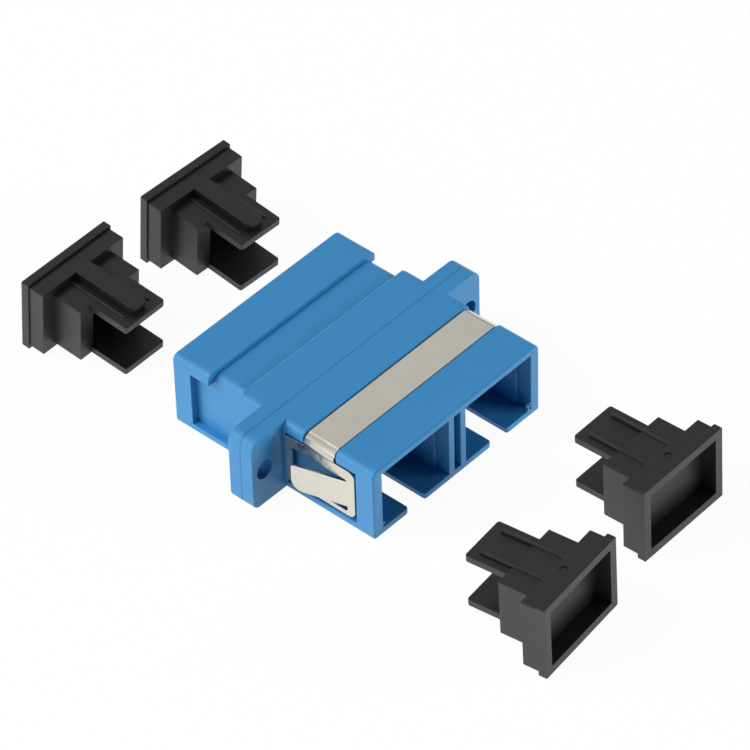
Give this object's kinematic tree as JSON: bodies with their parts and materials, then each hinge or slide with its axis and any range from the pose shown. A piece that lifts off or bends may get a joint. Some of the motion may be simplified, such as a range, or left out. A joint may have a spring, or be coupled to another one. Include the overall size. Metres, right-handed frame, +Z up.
{
  "type": "sc fibre adapter",
  "caption": "Flanged push-pull fibre adapter with side-by-side ports, a steel panel clip, floating split sleeves inside and loose dust caps beside it.",
  "frame": {"origin": "on the underside, below the middle of the flange, where the front and rear housings meet", "axes": "+X across the ports to the right seen from the front, -Y out of the front ports on the clip side, +Z up"},
  "size_m": [0.0348, 0.0732, 0.0093],
  "materials": {
    "blue_moulding": "satin moulded plastic",
    "spring_steel": "fine rolled finish",
    "black_moulding": "satin moulded plastic",
    "latch_moulding": "satin moulded plastic",
    "zirconia": "ground and polished"
  },
  "bodies": {
    "adapter": {"front_housing": "blue_moulding", "rear_housing": "blue_moulding", "panel_clip": "spring_steel", "front_left_dust_cap": "black_moulding", "front_right_dust_cap": "black_moulding", "rear_left_dust_cap": "black_moulding", "rear_right_dust_cap": "black_moulding", "left_front_latch": "latch_moulding", "left_rear_latch": "latch_moulding", "right_front_latch": "latch_moulding", "right_rear_latch": "latch_moulding"},
    "left_sleeve": {"left_split_sleeve": "zirconia"},
    "right_sleeve": {"right_split_sleeve": "zirconia"}
  },
  "joints": [
    {"name": "left_sleeve_float", "type": "slide", "parent": "adapter", "child": "left_sleeve", "axis": [0, 1, 0], "range_m": [-0.00015, 0.00015]},
    {"name": "right_sleeve_float", "type": "slide", "parent": "adapter", "child": "right_sleeve", "axis": [0, 1, 0], "range_m": [-0.00015, 0.00015]}
  ]
}
